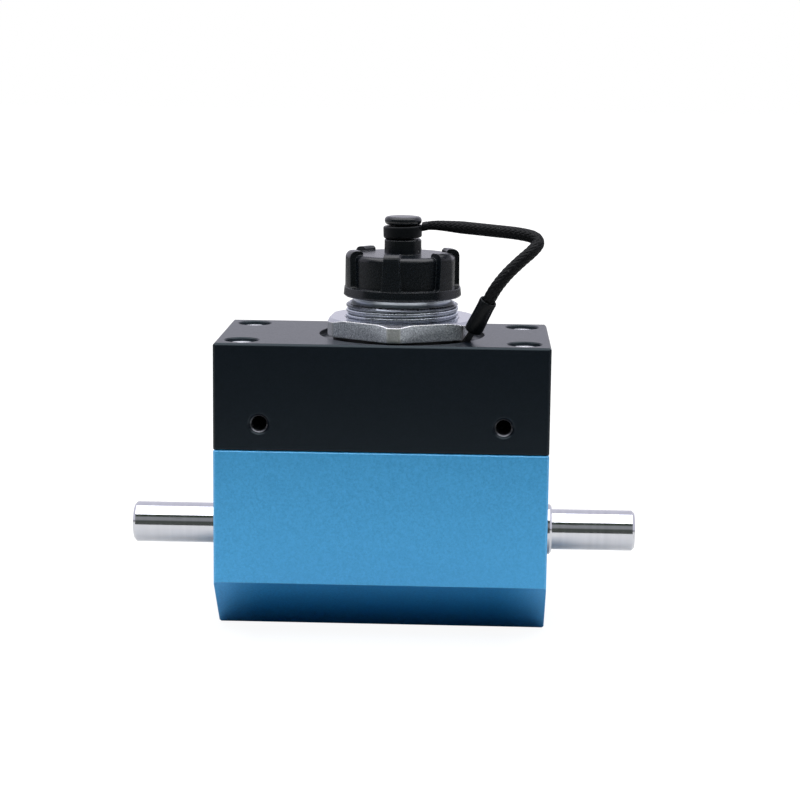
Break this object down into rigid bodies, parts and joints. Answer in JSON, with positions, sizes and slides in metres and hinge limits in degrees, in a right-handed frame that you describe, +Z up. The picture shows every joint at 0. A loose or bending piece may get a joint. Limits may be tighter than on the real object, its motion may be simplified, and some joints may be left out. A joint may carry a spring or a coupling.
{
  "type": "rotary torque sensor",
  "caption": "Rotary torque sensor: a through shaft in a blue metal block under a black electronics cover, with a round connector and a screwed dust cap on a tether.",
  "frame": {"origin": "middle of the foot, on the surface it stands on", "axes": "+X along the shaft, to the right in the picture; -Y to the front; +Z up, to the dust cap"},
  "size_m": [0.0994, 0.034, 0.08],
  "materials": {
    "blue_anodised": "blue anodised over fine blasting",
    "black_anodised": "black anodised over fine blasting",
    "ground_steel": "ground and polished",
    "bearing_steel": "polished bearing steel",
    "shield_steel": "pressed sheet",
    "black_steel": "black oxide",
    "screw_steel": "bright zinc plate",
    "zinc_plate": "bright zinc plate",
    "zinc_cast": "plated over a grainy cast surface",
    "black_plastic": "semi-matt moulding",
    "heat_shrink": "satin shrink tube",
    "black_rubber": "matt",
    "seal_rubber": "matt",
    "black_braid": "tight waxed braid",
    "copper_winding": "enamelled wire",
    "circuit_board": "solder resist",
    "lead_insulation": "smooth",
    "contact_gold": "gold plated",
    "brass": "turned",
    "gauge_foil": "etched foil on film"
  },
  "bodies": {
    "housing": {"base_housing": "blue_anodised", "electronics_cover": "black_anodised", "cover_gasket": "black_rubber", "cover_screws": "screw_steel", "power_stator_coil": "copper_winding", "signal_stator_coil": "copper_winding", "main_board": "circuit_board", "board_standoffs": "brass", "board_screws": "bearing_steel", "coil_leads": "lead_insulation", "connector_shell": "zinc_plate", "connector_insert": "black_plastic", "connector_pins": "contact_gold", "connector_washer": "black_rubber", "connector_nut": "zinc_cast", "tether_eyelet": "zinc_plate", "tether_sleeve": "heat_shrink", "left_outer_ring": "bearing_steel", "left_shields": "shield_steel", "left_retaining_ring": "black_steel", "right_outer_ring": "bearing_steel", "right_shields": "shield_steel", "right_retaining_ring": "black_steel"},
    "rotor": {"torque_shaft": "ground_steel", "strain_gauges": "gauge_foil", "power_rotor_coil": "copper_winding", "signal_rotor_coil": "copper_winding", "rotor_board": "circuit_board", "left_spacer": "bearing_steel", "left_inner_ring": "bearing_steel", "right_spacer": "bearing_steel", "right_inner_ring": "bearing_steel"},
    "left_ball_set": {"left_balls": "bearing_steel", "left_cage": "brass"},
    "right_ball_set": {"right_balls": "bearing_steel", "right_cage": "brass"},
    "cap_tether": {"tether_ring": "heat_shrink", "tether_cord": "black_braid"},
    "cap": {"dust_cap": "black_plastic", "cap_seal": "seal_rubber"}
  },
  "joints": [
    {"name": "shaft_spin", "type": "hinge", "parent": "housing", "child": "rotor", "pos_m": [0, 0, 0.01825], "axis": [1, 0, 0], "continuous": true},
    {"name": "left_cage_turn", "type": "hinge", "parent": "housing", "child": "left_ball_set", "pos_m": [0, 0, 0.01825], "axis": [1, 0, 0], "continuous": true},
    {"name": "right_cage_turn", "type": "hinge", "parent": "housing", "child": "right_ball_set", "pos_m": [0, 0, 0.01825], "axis": [1, 0, 0], "continuous": true},
    {"name": "cap_lift", "type": "slide", "parent": "housing", "child": "cap_tether", "axis": [0, 0, 1], "range_m": [0, 0.004]},
    {"name": "cap_turn", "type": "hinge", "parent": "cap_tether", "child": "cap", "pos_m": [0.0032, 0, 0.069], "axis": [0, 0, 1], "range_deg": [0, 1441]}
  ],
  "couplings": [
    {"joint": "left_cage_turn", "follows": "shaft_spin", "ratio": 0.40078},
    {"joint": "right_cage_turn", "follows": "shaft_spin", "ratio": 0.40078},
    {"joint": "cap_turn", "follows": "cap_lift", "rad_per_m": 6283.2}
  ]
}
